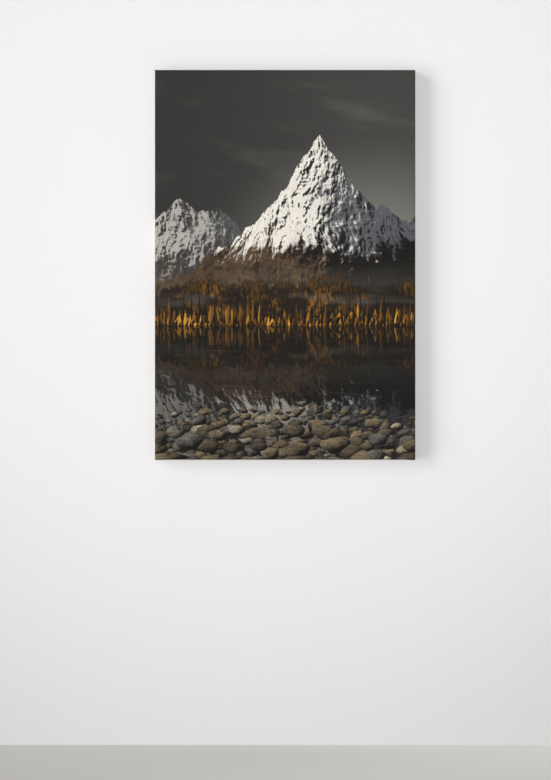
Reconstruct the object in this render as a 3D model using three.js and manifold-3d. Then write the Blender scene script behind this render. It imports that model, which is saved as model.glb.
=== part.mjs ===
// A large stretched-canvas picture: printed cloth wrapped round a keyed pine stretcher frame, with a
// half-lapped cross brace behind it, sawtooth hangers on the top bar and felt pads that meet the wall.
//
// Millimetres, +Z up, +X to the viewer's right. The picture faces -Y. The origin is the point of the wall
// plane behind the centre of the picture, so the whole object lies at y <= 0.
import * as THREE from 'three';
import { mergeVertices } from 'three/addons/utils/BufferGeometryUtils.js';
import Module from 'manifold-3d';

const wasm = await Module();
wasm.setup();

// ---- driving dimensions ----
const PICTURE_WIDTH = 900;
const PICTURE_HEIGHT = 1350;
const GAP = 0.3; // between neighbours that touch

// cloth
const CLOTH = 0.8; // primed and printed cotton, with its ground
const CLOTH_EDGE_RADIUS = 2; // where the cloth turns over the front and back arrises
const CLOTH_CORNER_RADIUS = 1.6;
const FLAP_WIDTH = 26; // cloth turned onto the back of the bars
const PLEAT = 1.2; // extra thickness of the folded corners

// stretcher bars
const BAR_DEPTH = 38;
const BAR_WIDTH = 42;
const BEAD_WIDTH = 7; // raised outer bead, the only part that the cloth touches in front
const BEAD_STEP = 2;
const BAR_SLOPE = 2.5; // further fall of the front face towards the inner edge
const ARRIS = 1; // small chamfers on the wood
const BAR_BACK = -4; // y of the wood's back face, so that the wood stands 4 mm off the wall
const BAR_FRONT = BAR_BACK - BAR_DEPTH;

// corner joints: tenons on the top and bottom bars, mortises in the side bars
const TENON_BACK = -18;
const TENON_FRONT = -30;
const TENON_SHOULDER = 4;
const TENON_STOP = 10; // wood left beyond the tenon's end

// corner keys
const KEY_LENGTH = 38;
const KEY_REACH = 12; // the part of the key inside its slot
const KEY_HEEL = 15;
const KEY_TIP = 4;
const KEY_THICKNESS = 5;
const KEY_BACK = { across: -13, upright: -22 }; // y of each key's back face

// cross brace
const BRACE_WIDTH = 45;
const BRACE_DEPTH = 18;
const TONGUE_WIDTH = 30;
const TONGUE_THICKNESS = 8;
const TONGUE_REACH = 12;

// sawtooth hangers
const HANGER_LENGTH = 62;
const HANGER_HEIGHT = 11;
const HANGER_SHEET = 1;
const HANGER_RAISE = 2.3; // how far its middle stands off its ends
const HANGER_RAISED_HALF = 19;
const HANGER_RAMP = 2.5;
const HANGER_SCREW_AT = 26; // from the hanger's middle
const HANGER_AT_X = 250;
const TOOTH_PITCH = 2;
const TOOTH_DEPTH = 1.3;
const TEETH = 15;

// screws
const SMALL_SCREW = { head: 2.8, dome: 1.5, shank: 1.2, length: 10 };
const BRACE_SCREW = { head: 4.2, dome: 1.8, shank: 1.7, length: 14 };

// felt pads
const PAD_RADIUS = 10;
const PAD_BEVEL = 0.5;
const PAD_INSET = 14; // from the picture's outer edges

// ---- derived places ----
const CLOTH_X = PICTURE_WIDTH / 2;
const CLOTH_Z = PICTURE_HEIGHT / 2 - PLEAT;
const CAVITY_X = CLOTH_X - CLOTH;
const CAVITY_Z = CLOTH_Z - CLOTH;
const WOOD_X = CAVITY_X - GAP;
const WOOD_Z = CAVITY_Z - GAP;
const INNER_X = WOOD_X - BAR_WIDTH;
const INNER_Z = WOOD_Z - BAR_WIDTH;
const CAVITY_FRONT = BAR_FRONT - GAP;
const CLOTH_FRONT = CAVITY_FRONT - CLOTH;
const FLAP_FRONT = BAR_BACK + GAP;
const FLAP_BACK = FLAP_FRONT + CLOTH;
const BRACE_FRONT = BAR_BACK - BRACE_DEPTH;
const BRACE_MIDDLE = BAR_BACK - BRACE_DEPTH / 2;
const HANGER_Z = (INNER_Z + CLOTH_Z - FLAP_WIDTH) / 2; // middle of the top bar's bare strip

// ---- finishes ----
const finish = (color, roughness, metalness = 0) =>
  new THREE.MeshStandardMaterial({ color, roughness, metalness });
const printedCloth = finish(0x3f3e3b, 0.75);
const pine = finish(0xcfae7d, 0.7);
const beech = finish(0xb98a58, 0.65);
const zincPlate = finish(0xb9bcc0, 0.35, 1);
const feltGrey = finish(0x6f6d69, 0.95);

// ---- solids ----
/** A closed three.js geometry as a manifold solid. */
function solid(geometry) {
  const bare = geometry.clone();
  bare.deleteAttribute('normal');
  bare.deleteAttribute('uv');
  const merged = mergeVertices(bare, 1e-4);
  return new wasm.Manifold(
    new wasm.Mesh({
      numProp: 3,
      vertProperties: new Float32Array(merged.attributes.position.array),
      triVerts: new Uint32Array(merged.index.array),
    }),
  );
}

/** A manifold solid back as a three.js geometry. */
function geometryOf(body) {
  const { vertProperties, triVerts } = body.getMesh();
  const geometry = new THREE.BufferGeometry();
  geometry.setAttribute('position', new THREE.BufferAttribute(new Float32Array(vertProperties), 3));
  geometry.setIndex(new THREE.BufferAttribute(new Uint32Array(triVerts), 1));
  geometry.computeVertexNormals();
  return geometry;
}

const subtractAll = (body, cutters) => cutters.reduce((rest, cutter) => rest.subtract(cutter), body);

function block(x, y, z) {
  const box = new THREE.BoxGeometry(x[1] - x[0], y[1] - y[0], z[1] - z[0]);
  box.translate((x[0] + x[1]) / 2, (y[0] + y[1]) / 2, (z[0] + z[1]) / 2);
  return solid(box);
}

/** An outline of [x, z] points or a Shape, as a plate from y = front to y = back. */
function plate(outline, front, back) {
  const shape = Array.isArray(outline)
    ? new THREE.Shape(outline.map(([x, z]) => new THREE.Vector2(x, z)))
    : outline;
  const geometry = new THREE.ExtrudeGeometry(shape, { depth: back - front, bevelEnabled: false });
  geometry.rotateX(Math.PI / 2);
  geometry.translate(0, back, 0);
  return solid(geometry);
}

/** A section of [y, z] points, as a rail along X from -half to +half. */
function rail(section, half) {
  const shape = new THREE.Shape(section.map(([y, z]) => new THREE.Vector2(y, z)));
  const geometry = new THREE.ExtrudeGeometry(shape, { depth: 2 * half, bevelEnabled: false });
  geometry.translate(0, 0, -half);
  geometry.applyMatrix4(
    new THREE.Matrix4().makeBasis(
      new THREE.Vector3(0, 1, 0),
      new THREE.Vector3(0, 0, 1),
      new THREE.Vector3(1, 0, 0),
    ),
  );
  return solid(geometry);
}

/** A profile of [radius, y] points turned about the Y axis and moved to (x, z). */
function turned(profile, x = 0, z = 0, segments = 20) {
  const geometry = new THREE.LatheGeometry(
    profile.map(([radius, y]) => new THREE.Vector2(radius, y)),
    segments,
  );
  geometry.translate(x, 0, z);
  return solid(geometry);
}

const drill = (radius, front, back, x, z) =>
  turned([[0, front], [radius, front], [radius, back], [0, back]], x, z);

function roundedRectangle(halfX, halfZ, radius) {
  const shape = new THREE.Shape();
  shape.moveTo(radius - halfX, -halfZ);
  shape.lineTo(halfX - radius, -halfZ);
  shape.absarc(halfX - radius, radius - halfZ, radius, -Math.PI / 2, 0);
  shape.lineTo(halfX, halfZ - radius);
  shape.absarc(halfX - radius, halfZ - radius, radius, 0, Math.PI / 2);
  shape.lineTo(radius - halfX, halfZ);
  shape.absarc(radius - halfX, halfZ - radius, radius, Math.PI / 2, Math.PI);
  shape.lineTo(-halfX, radius - halfZ);
  shape.absarc(radius - halfX, radius - halfZ, radius, Math.PI, 1.5 * Math.PI);
  return shape;
}

/** A rectangular slab whose front and back arrises are rounded over. */
function softSlab(halfX, halfZ, cornerRadius, front, back, edgeRadius) {
  const geometry = new THREE.ExtrudeGeometry(roundedRectangle(halfX, halfZ, cornerRadius), {
    depth: back - front - 2 * edgeRadius,
    bevelThickness: edgeRadius,
    bevelSize: edgeRadius,
    bevelOffset: -edgeRadius,
    bevelSegments: 3,
    curveSegments: 3,
  });
  geometry.rotateX(Math.PI / 2);
  geometry.translate(0, back - edgeRadius, 0);
  return solid(geometry);
}

// ---- canvas ----
/** Folded pleat of one corner: a triangle on the end face and a smaller one on the back flap. */
function cornerPleats(signX, signZ) {
  const depth = FLAP_BACK - CLOTH_FRONT;
  const side = new THREE.ExtrudeGeometry(
    new THREE.Shape([
      new THREE.Vector2(signX * (CLOTH_X - CLOTH_EDGE_RADIUS), CLOTH_FRONT + CLOTH_EDGE_RADIUS),
      new THREE.Vector2(signX * (CLOTH_X - CLOTH_EDGE_RADIUS), FLAP_BACK - CLOTH_EDGE_RADIUS),
      new THREE.Vector2(signX * (CLOTH_X - depth), FLAP_BACK - CLOTH_EDGE_RADIUS),
    ]),
    { depth: PLEAT + CLOTH / 2, bevelEnabled: false },
  );
  side.translate(0, 0, signZ > 0 ? CLOTH_Z - CLOTH / 2 : -CLOTH_Z - PLEAT);
  const inner = FLAP_WIDTH - 1;
  const behind = plate(
    [
      [signX * (CLOTH_X - CLOTH_EDGE_RADIUS), signZ * (CLOTH_Z - CLOTH_EDGE_RADIUS)],
      [signX * (CLOTH_X - inner), signZ * (CLOTH_Z - CLOTH_EDGE_RADIUS)],
      [signX * (CLOTH_X - inner), signZ * (CLOTH_Z - inner)],
    ],
    FLAP_BACK - CLOTH / 2,
    FLAP_BACK + PLEAT,
  );
  return solid(side).add(behind);
}

function canvas() {
  const outside = softSlab(
    CLOTH_X, CLOTH_Z, CLOTH_CORNER_RADIUS + CLOTH_EDGE_RADIUS, CLOTH_FRONT, FLAP_BACK, CLOTH_EDGE_RADIUS,
  );
  const inside = block(
    [-CAVITY_X, CAVITY_X], [CAVITY_FRONT, FLAP_FRONT], [-CAVITY_Z, CAVITY_Z],
  );
  const mouth = block(
    [FLAP_WIDTH - CLOTH_X, CLOTH_X - FLAP_WIDTH],
    [BAR_BACK - 1, 1],
    [FLAP_WIDTH - CLOTH_Z, CLOTH_Z - FLAP_WIDTH],
  );
  let cloth = outside.subtract(inside).subtract(mouth);
  for (const signX of [-1, 1]) {
    for (const signZ of [-1, 1]) {
      cloth = cloth.add(cornerPleats(signX, signZ));
    }
  }
  return geometryOf(cloth);
}

// ---- stretcher bars ----
/** Section of a bar whose outer edge lies at z = reach. */
function barSection(reach) {
  return [
    [BAR_BACK, reach - BAR_WIDTH + ARRIS],
    [BAR_BACK, reach - ARRIS],
    [BAR_BACK - ARRIS, reach],
    [BAR_FRONT + 2 * ARRIS, reach],
    [BAR_FRONT, reach - 2 * ARRIS],
    [BAR_FRONT, reach - BEAD_WIDTH],
    [BAR_FRONT + BEAD_STEP, reach - BEAD_WIDTH - BEAD_STEP],
    [BAR_FRONT + BEAD_STEP + BAR_SLOPE, reach - BAR_WIDTH],
    [BAR_BACK - ARRIS, reach - BAR_WIDTH],
  ];
}

/** The tenon's room in the corner square, in the frame of the bar that carries it, grown by play. */
function tenonAt(side, half, reach, play) {
  const along = [half - BAR_WIDTH - 2 * play, half - TENON_STOP + play];
  return block(
    side > 0 ? along : [-along[1], -along[0]],
    [TENON_FRONT - play, TENON_BACK + play],
    [reach - BAR_WIDTH + TENON_SHOULDER - play, reach - TENON_SHOULDER + play],
  );
}

/** The same room seen from the bar that crosses it. */
function mortiseAt(side, half, reach) {
  const along = [half - BAR_WIDTH + TENON_SHOULDER - GAP, half - TENON_SHOULDER + GAP];
  return block(
    side > 0 ? along : [-along[1], -along[0]],
    [TENON_FRONT - GAP, TENON_BACK + GAP],
    [reach - BAR_WIDTH - GAP, reach - TENON_STOP + GAP],
  );
}

/** Slot in a bar's inner face for the tip of the key that lies along the crossing bar. */
function keySlotAt(side, half, reach, keyBack) {
  const along = [half - BAR_WIDTH - KEY_HEEL, half - BAR_WIDTH];
  return block(
    side > 0 ? along : [-along[1], -along[0]],
    [keyBack - KEY_THICKNESS - GAP, keyBack + GAP],
    [reach - BAR_WIDTH - 1, reach - BAR_WIDTH + KEY_REACH + GAP],
  );
}

/**
 * A bar in the frame of the top one: it runs along X with its outer edge at z = reach. The bars that carry
 * tenons lie across the picture; the others are mortised for them.
 */
function stretcherBar({ half, reach, tenoned, keyBack, pilotHoles = [] }) {
  const back = GAP / Math.SQRT2; // each mitre face is set back by half the gap
  const mitred = plate(
    [
      [back - half, reach],
      [half - back, reach],
      [half - BAR_WIDTH - back, reach - BAR_WIDTH],
      [BAR_WIDTH + back - half, reach - BAR_WIDTH],
    ].reverse(),
    BAR_FRONT - 1,
    BAR_BACK + 1,
  );
  let bar = rail(barSection(reach), half).intersect(mitred);
  for (const side of [-1, 1]) {
    bar = tenoned ? bar.add(tenonAt(side, half, reach, 0)) : bar.subtract(mortiseAt(side, half, reach));
    bar = bar.subtract(keySlotAt(side, half, reach, keyBack));
  }
  const braceMortise = block(
    [-TONGUE_WIDTH / 2 - GAP, TONGUE_WIDTH / 2 + GAP],
    [BRACE_MIDDLE - TONGUE_THICKNESS / 2 - GAP, BRACE_MIDDLE + TONGUE_THICKNESS / 2 + GAP],
    [reach - BAR_WIDTH - 1, reach - BAR_WIDTH + TONGUE_REACH + GAP],
  );
  return geometryOf(subtractAll(bar, [braceMortise, ...pilotHoles]));
}

// ---- cross brace ----
/** A brace along X whose tongues enter the bars at +-inner; notch is the [front, back] y of its lap. */
function brace(inner, notch) {
  const half = inner - GAP;
  const wide = BRACE_WIDTH / 2;
  const body = rail(
    [
      [BAR_BACK, ARRIS - wide],
      [BAR_BACK, wide - ARRIS],
      [BAR_BACK - ARRIS, wide],
      [BRACE_FRONT + ARRIS, wide],
      [BRACE_FRONT, wide - ARRIS],
      [BRACE_FRONT, ARRIS - wide],
      [BRACE_FRONT + ARRIS, -wide],
      [BAR_BACK - ARRIS, -wide],
    ],
    half,
  );
  const tongue = block(
    [-half - TONGUE_REACH, half + TONGUE_REACH],
    [BRACE_MIDDLE - TONGUE_THICKNESS / 2, BRACE_MIDDLE + TONGUE_THICKNESS / 2],
    [-TONGUE_WIDTH / 2, TONGUE_WIDTH / 2],
  );
  const lap = block([-wide - GAP, wide + GAP], notch, [-wide - 1, wide + 1]);
  const screwHole = drill(BRACE_SCREW.shank + GAP, BRACE_FRONT - 1, BAR_BACK + 1, 0, 0);
  return geometryOf(body.add(tongue).subtract(lap).subtract(screwHole));
}

// ---- corner keys ----
/** The key that lies under the top bar with its tip in the right-hand bar, in the corner's own frame. */
function cornerKey(thicknessBack) {
  return geometryOf(
    plate(
      [
        [KEY_REACH - KEY_LENGTH, -GAP],
        [KEY_REACH - KEY_LENGTH, -GAP - KEY_HEEL + ARRIS],
        [KEY_REACH - KEY_LENGTH + ARRIS, -GAP - KEY_HEEL],
        [KEY_REACH, -GAP - KEY_TIP],
        [KEY_REACH, -GAP],
      ],
      thicknessBack - KEY_THICKNESS,
      thicknessBack,
    ),
  );
}

// ---- hangers, screws and pads ----
/** A stamped strip, raised in the middle, with teeth along the lower edge of the raised part. */
function sawtoothHanger() {
  const foot = BAR_BACK + GAP;
  const raised = foot + HANGER_RAISE;
  const ramp = HANGER_RAISED_HALF + HANGER_RAMP;
  const end = HANGER_LENGTH / 2 + 1;
  const profile = [
    [-end, foot], [-ramp, foot], [-HANGER_RAISED_HALF, raised], [HANGER_RAISED_HALF, raised],
    [ramp, foot], [end, foot], [end, foot + HANGER_SHEET], [ramp, foot + HANGER_SHEET],
    [HANGER_RAISED_HALF, raised + HANGER_SHEET], [-HANGER_RAISED_HALF, raised + HANGER_SHEET],
    [-ramp, foot + HANGER_SHEET], [-end, foot + HANGER_SHEET],
  ];
  const strip = new THREE.ExtrudeGeometry(
    new THREE.Shape(profile.map(([x, y]) => new THREE.Vector2(x, y))),
    { depth: HANGER_HEIGHT + 2, bevelEnabled: false },
  );
  strip.translate(0, 0, -HANGER_HEIGHT / 2 - 1);

  const round = HANGER_HEIGHT / 2;
  const straight = HANGER_LENGTH / 2 - round;
  const toothed = (TEETH * TOOTH_PITCH) / 2;
  const outline = new THREE.Shape();
  outline.moveTo(-straight, -round);
  outline.lineTo(-toothed, -round);
  for (let tooth = 0; tooth < TEETH; tooth += 1) {
    const start = tooth * TOOTH_PITCH - toothed;
    outline.lineTo(start + TOOTH_PITCH / 2, TOOTH_DEPTH - round);
    outline.lineTo(start + TOOTH_PITCH, -round);
  }
  outline.lineTo(straight, -round);
  outline.absarc(straight, 0, round, -Math.PI / 2, Math.PI / 2);
  outline.lineTo(-straight, round);
  outline.absarc(-straight, 0, round, Math.PI / 2, 1.5 * Math.PI);
  const blank = plate(outline, BAR_BACK, 1);

  const holes = [-1, 1].map((side) =>
    drill(SMALL_SCREW.shank + GAP, BAR_BACK - 1, 1, side * HANGER_SCREW_AT, 0));
  return geometryOf(subtractAll(solid(strip).intersect(blank), holes));
}

/** A round-headed screw with a cross recess; its head's underside is at y = seat. */
function screw({ head, dome, shank, length }, seat) {
  const blank = turned([
    [0, seat - length], [shank * 0.5, seat - length + shank * 1.5], [shank, seat - length + shank * 3],
    [shank, seat], [head, seat], [head, seat + dome * 0.4], [head * 0.75, seat + dome * 0.85],
    [head * 0.4, seat + dome], [0, seat + dome],
  ]);
  const slot = head * 0.14;
  const arm = head * 0.55;
  const depth = [seat + dome * 0.4, seat + dome + 1];
  const recess = block([-arm, arm], depth, [-slot, slot]).add(block([-slot, slot], depth, [-arm, arm]));
  return geometryOf(blank.subtract(recess));
}

function feltPad() {
  const foot = FLAP_BACK + GAP;
  return geometryOf(
    turned([
      [0, foot], [PAD_RADIUS, foot], [PAD_RADIUS, -PAD_BEVEL], [PAD_RADIUS - PAD_BEVEL, 0], [0, 0],
    ], 0, 0, 32),
  );
}

// ---- assembly ----
const picture = new THREE.Group();

function place(name, geometry, material, { x = 0, z = 0, turn = 0, parent = picture } = {}) {
  const mesh = new THREE.Mesh(geometry, material);
  mesh.name = name;
  mesh.position.set(x, 0, z);
  mesh.rotation.y = turn;
  parent.add(mesh);
  return mesh;
}

place('canvas', canvas(), printedCloth);

const hangerPilots = [-1, 1].flatMap((hanger) => [-1, 1].map((end) =>
  drill(
    SMALL_SCREW.shank + GAP,
    BAR_BACK - SMALL_SCREW.length - 1,
    BAR_BACK + 1,
    hanger * HANGER_AT_X + end * HANGER_SCREW_AT,
    HANGER_Z,
  )));
const across = { half: WOOD_X, reach: WOOD_Z, tenoned: true, keyBack: KEY_BACK.upright };
const upright = { half: WOOD_Z, reach: WOOD_X, tenoned: false, keyBack: KEY_BACK.across };
place('bar_top', stretcherBar({ ...across, pilotHoles: hangerPilots }), pine);
place('bar_right', stretcherBar(upright), pine, { turn: Math.PI / 2 });
place('bar_bottom', stretcherBar(across), pine, { turn: Math.PI });
place('bar_left', stretcherBar(upright), pine, { turn: -Math.PI / 2 });

place('brace_across', brace(INNER_X, [BRACE_FRONT - 1, BRACE_MIDDLE + GAP / 2]), pine);
place('brace_upright', brace(INNER_Z, [BRACE_MIDDLE - GAP / 2, BAR_BACK + 1]), pine, { turn: Math.PI / 2 });
place('brace_screw', screw(BRACE_SCREW, BAR_BACK + GAP), zincPlate);

// Each corner is turned into place as a group; its two keys lie along its two bars. A quarter turn swaps
// which bar is the crossing one, so the key that lies along an upright bar is turned over about the mitre.
const corners = [
  { name: 'top_right', x: 1, z: 1 },
  { name: 'bottom_right', x: 1, z: -1 },
  { name: 'bottom_left', x: -1, z: -1 },
  { name: 'top_left', x: -1, z: 1 },
];
for (const corner of corners) {
  for (const [run, keyBack] of Object.entries(KEY_BACK)) {
    const key = cornerKey(keyBack);
    if (run === 'upright') {
      key.applyMatrix4(new THREE.Matrix4().set(0, 0, 1, 0, 0, 1, 0, 0, 1, 0, 0, 0, 0, 0, 0, 1));
    }
    key.scale(corner.x, 1, corner.z);
    if ((run === 'upright') !== (corner.x * corner.z < 0)) {
      key.setIndex(new THREE.BufferAttribute(key.index.array.slice().reverse(), 1)); // mirrored once
    }
    place(`key_${corner.name}_${run}`, key, beech, { x: corner.x * INNER_X, z: corner.z * INNER_Z });
  }
  place(`pad_${corner.name}`, feltPad(), feltGrey, {
    x: corner.x * (CLOTH_X - FLAP_WIDTH - PAD_INSET),
    z: corner.z * (CLOTH_Z - PAD_INSET),
  });
}

for (const [name, x] of [['left', -HANGER_AT_X], ['right', HANGER_AT_X]]) {
  place(`hanger_${name}`, sawtoothHanger(), zincPlate, { x, z: HANGER_Z });
  for (const [end, offset] of [['a', -HANGER_SCREW_AT], ['b', HANGER_SCREW_AT]]) {
    const seat = BAR_BACK + GAP + HANGER_SHEET + GAP;
    place(`screw_${name}_${end}`, screw(SMALL_SCREW, seat), zincPlate, { x: x + offset, z: HANGER_Z });
  }
}

export default picture;
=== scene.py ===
"""Looks of a large stretched-canvas picture that hangs on a wall.

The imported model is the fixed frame: pine stretcher bars, cross brace, beech keys, hangers,
screws and felt pads stay as they are and get their finishes here. The cloth, its staples
and its loose threads are made here. Metres, +Z up, +X to the viewer's right; the printed
face looks along -Y and the wall is y = 0.
"""

import math
import random
from contextlib import contextmanager

import bmesh
import bpy
from mathutils import Matrix, Vector


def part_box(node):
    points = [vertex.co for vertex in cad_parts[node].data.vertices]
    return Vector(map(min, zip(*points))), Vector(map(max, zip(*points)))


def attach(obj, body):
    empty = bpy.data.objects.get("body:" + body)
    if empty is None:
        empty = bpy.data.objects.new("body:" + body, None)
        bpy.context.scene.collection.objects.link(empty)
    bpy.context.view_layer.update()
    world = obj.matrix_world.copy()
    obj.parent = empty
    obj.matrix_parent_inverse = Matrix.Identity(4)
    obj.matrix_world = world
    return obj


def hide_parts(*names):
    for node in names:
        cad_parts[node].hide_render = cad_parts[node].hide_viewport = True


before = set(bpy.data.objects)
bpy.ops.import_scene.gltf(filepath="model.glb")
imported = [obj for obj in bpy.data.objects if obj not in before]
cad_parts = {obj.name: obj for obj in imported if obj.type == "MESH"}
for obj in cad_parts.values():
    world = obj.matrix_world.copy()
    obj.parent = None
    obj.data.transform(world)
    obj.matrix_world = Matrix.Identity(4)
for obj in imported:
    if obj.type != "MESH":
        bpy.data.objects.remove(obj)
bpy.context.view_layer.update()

MM = 0.001

# ---- sizes that the pieces share ----
CLOTH = 0.6 * MM
PLEAT = 1.2 * MM  # thickness of the folded corners
FLAP = 26 * MM  # cloth turned onto the back of the bars
FOLD_RADIUS = 2.2 * MM
GRID = 12.5 * MM  # spacing of the cloth's mesh
STAPLE_PITCH = 50 * MM

# The cloth's own reach, without its folded corners.
cloth_low, cloth_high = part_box("canvas")
REACH_X = cloth_high[0]
REACH_Z = cloth_high[2] - PLEAT
FRONT = cloth_low[1]
BACK = cloth_high[1] - PLEAT
DEPTH = BACK - FRONT

# The cloth laid out flat, and its scale on the bake map.
HALF_CUT_X = REACH_X + DEPTH + FLAP
HALF_CUT_Z = REACH_Z + DEPTH + FLAP
BAKE_MARGIN = 0.005
BAKE_SCALE = (1 - 2 * BAKE_MARGIN) / (2 * HALF_CUT_Z)


def middle(node):
    """The middle of a CAD node's box."""
    low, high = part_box(node)
    return [(a + b) / 2 for a, b in zip(low, high)]


PADS = [middle(node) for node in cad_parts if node.startswith("pad_")]
PAD_HOLD = 12 * MM  # how far round its middle a felt pad holds the cloth down


def pad_distance(x, z):
    """How far a point of the back is from the middle of the nearest felt pad."""
    return min(math.hypot(x - pad_x, z - pad_z) for pad_x, _, pad_z in PADS)


# ---- modelling helpers ----
def deselect():
    bpy.ops.object.select_all(action="DESELECT")


def take(*pieces):
    """Selects these pieces alone, with the first one active."""
    deselect()
    for piece in pieces:
        piece.select_set(True)
    bpy.context.view_layer.objects.active = pieces[0]


@contextmanager
def editing(piece):
    """Edit mode on one piece with nothing selected."""
    take(piece)
    bpy.ops.object.mode_set(mode="EDIT")
    bpy.ops.mesh.select_mode(type="FACE")
    bpy.ops.mesh.select_all(action="DESELECT")
    yield
    bpy.ops.object.mode_set(mode="OBJECT")


def pick_faces(piece, test):
    """Selects the faces whose centre and normal pass the test, in edit mode."""
    bpy.ops.mesh.select_mode(type="FACE")
    bpy.ops.mesh.select_all(action="DESELECT")
    mesh = bmesh.from_edit_mesh(piece.data)
    for face in mesh.faces:
        face.select_set(test(face.calc_center_median(), face.normal))
    bmesh.update_edit_mesh(piece.data)


def pick_edges(piece, test):
    """Selects the edges whose two ends pass the test, in edit mode."""
    bpy.ops.mesh.select_mode(type="EDGE")
    bpy.ops.mesh.select_all(action="DESELECT")
    mesh = bmesh.from_edit_mesh(piece.data)
    for edge in mesh.edges:
        edge.select_set(test(edge.verts[0].co, edge.verts[1].co))
    bmesh.update_edit_mesh(piece.data)


def settle(name):
    """Names the active object and moves its place into its mesh."""
    piece = bpy.context.object
    piece.name = piece.data.name = name
    bpy.ops.object.transform_apply(location=True, rotation=True, scale=True)
    return piece


def new_box(name, low, high):
    deselect()
    centre = [(a + b) / 2 for a, b in zip(low, high)]
    size = [b - a for a, b in zip(low, high)]
    bpy.ops.mesh.primitive_cube_add(size=1, location=centre, scale=size)
    return settle(name)


def finish_modifier(piece, kind, **settings):
    """Adds a modifier to the piece and applies it."""
    modifier = piece.modifiers.new(kind.title(), kind)
    for key, value in settings.items():
        setattr(modifier, key, value)
    take(piece)
    bpy.ops.object.modifier_apply(modifier=modifier.name)


def smooth_by_angle(piece, degrees):
    take(piece)
    bpy.ops.object.shade_smooth_by_angle(angle=math.radians(degrees))


def copy_of(pattern):
    """A copy of a piece with its own mesh."""
    piece = pattern.copy()
    piece.data = pattern.data.copy()
    bpy.context.collection.objects.link(piece)
    return piece


def join(name, pieces):
    take(*pieces)
    bpy.ops.object.join()
    pieces[0].name = pieces[0].data.name = name
    return pieces[0]


def remove(piece):
    bpy.data.objects.remove(piece, do_unlink=True)


# ---- shader helpers ----
class Wire:
    """What varies over a surface: a socket whose arithmetic adds Math nodes."""

    def __init__(self, shader, socket):
        self.shader = shader
        self.socket = socket

    def __add__(self, other):
        return self.shader.math("ADD", self, other)

    def __sub__(self, other):
        return self.shader.math("SUBTRACT", self, other)

    def __rsub__(self, other):
        return self.shader.math("SUBTRACT", other, self)

    def __mul__(self, other):
        return self.shader.math("MULTIPLY", self, other)

    def __truediv__(self, other):
        return self.shader.math("DIVIDE", self, other)

    def __rtruediv__(self, other):
        return self.shader.math("DIVIDE", other, self)

    def __pow__(self, other):
        return self.shader.math("POWER", self, other)

    def __abs__(self):
        return self.shader.math("ABSOLUTE", self)

    __radd__ = __add__
    __rmul__ = __mul__


class Shader:
    """The nodes of one material, or of the world. Its methods add nodes and hand back wires."""

    def __init__(self, name, owners="materials", surface="Principled BSDF", **constants):
        self.owner = getattr(bpy.data, owners).new(name)
        self.owner.use_nodes = True
        self.tree = self.owner.node_tree
        self.surface = self.tree.nodes[surface]
        self.paint(**constants)

    def node(self, kind, settings=None, output=0, **inputs):
        """Any node: its settings come first, then its sockets by name or by _number."""
        node = self.tree.nodes.new(kind)
        for key, value in (settings or {}).items():
            setattr(node, key, value)
        for key, value in inputs.items():
            name = int(key[1:]) if key[0] == "_" else key.replace("_", " ")
            self.feed(node.inputs[name], value)
        return Wire(self, node.outputs[output])

    def feed(self, socket, value):
        """Links a wire to a socket, or sets the socket to a constant."""
        if isinstance(value, Wire):
            self.tree.links.new(value.socket, socket)
        else:
            socket.default_value = value

    def math(self, operation, *values):
        sockets = {f"_{i}": value for i, value in enumerate(values)}
        return self.node("ShaderNodeMath", {"operation": operation}, **sockets)

    def floor(self, value):
        return self.math("FLOOR", value)

    def sin(self, value):
        return self.math("SINE", value)

    def most(self, a, b):
        return self.math("MAXIMUM", a, b)

    def ramp(self, value, start, end):
        """A soft step from 0 at start to 1 at end; start may be the larger."""
        return self.node(
            "ShaderNodeMapRange",
            {"interpolation_type": "SMOOTHSTEP", "clamp": False},
            Value=value,
            From_Min=start,
            From_Max=end,
        )

    def vector(self, x, y, z=0.0):
        return self.node("ShaderNodeCombineXYZ", X=x, Y=y, Z=z)

    def split(self, whole, kind="XYZ"):
        """The three numbers of a vector, or of a colour with kind Color."""
        first = self.node("ShaderNodeSeparate" + kind, _0=whole)
        return [Wire(self, socket) for socket in first.socket.node.outputs]

    def noise(self, place, scale, detail=2.0, roughness=0.5):
        """Noise from 0 to 1 with its middle at 0.5."""
        wires = {"Vector": place, "Scale": scale, "Detail": detail, "Roughness": roughness}
        return self.node("ShaderNodeTexNoise", **wires)

    def wander(self, value, scale, detail):
        """Noise along a line, from 0 to 1 with its middle at 0.5."""
        line = {"noise_dimensions": "1D"}
        return self.node("ShaderNodeTexNoise", line, W=value, Scale=scale, Detail=detail)

    def random(self, value):
        """Three random numbers from 0 to 1 for each value."""
        line = {"noise_dimensions": "1D"}
        dice = self.node("ShaderNodeTexWhiteNoise", line, output=1, W=value)
        return self.split(dice, "Color")

    def mix(self, factor, a, b):
        """A colour from a, at factor 0, to b, at factor 1. Plain colours are (r, g, b)."""
        a, b = (colour if isinstance(colour, Wire) else (*colour, 1.0) for colour in (a, b))
        kind = {"data_type": "RGBA"}
        return self.node("ShaderNodeMix", kind, output=2, _0=factor, _6=a, _7=b)

    def tint(self, colour, amount):
        """A colour times a number."""
        return self.node("ShaderNodeHueSaturation", Color=colour, Value=amount)

    def object_place(self):
        return self.node("ShaderNodeTexCoord", output=3)

    def uv(self, name):
        return self.node("ShaderNodeUVMap", {"uv_map": name})

    def bump(self, height, depth, strength):
        return self.node("ShaderNodeBump", Height=height, Distance=depth, Strength=strength)

    def paint(self, **values):
        """Sets or wires the sockets of the surface."""
        for socket, value in values.items():
            self.feed(self.surface.inputs[socket.replace("_", " ")], value)
        return self.owner


def srgb(code):
    """A colour written as #rrggbb, in linear light."""
    parts = [int(code[i : i + 2], 16) / 255 for i in (1, 3, 5)]
    return tuple(
        p / 12.92 if p <= 0.04045 else ((p + 0.055) / 1.055) ** 2.4 for p in parts
    )


# ---- the weave ----
THREAD_PITCH = 0.8 * MM


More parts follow.
